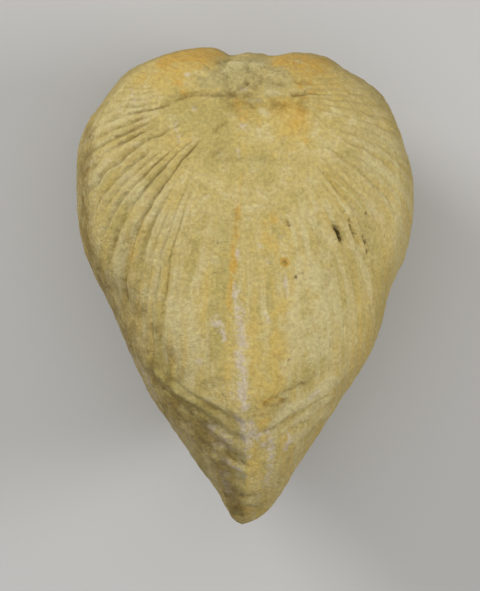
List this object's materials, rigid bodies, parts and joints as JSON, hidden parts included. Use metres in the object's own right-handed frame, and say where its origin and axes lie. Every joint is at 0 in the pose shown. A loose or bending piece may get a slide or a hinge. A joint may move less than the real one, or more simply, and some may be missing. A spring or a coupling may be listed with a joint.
{
  "type": "fossil bivalve",
  "caption": "Heart-shaped fossil bivalve, both valves shut and filled with limestone, with fanning growth ridges, blunt umbones and a pointed tip. It lies front face up.",
  "frame": {"origin": "middle of the resting side, level with the surface that the stone lies on", "axes": "+X across the two valves, +Y from the pointed tip to the umbones, +Z out of the heart-shaped front face, away from the surface"},
  "size_m": [0.0258, 0.0364, 0.028],
  "materials": {
    "limestone": "matte, dry and weathered"
  },
  "bodies": {
    "root": {"fossil_bivalve": "limestone"}
  },
  "joints": []
}
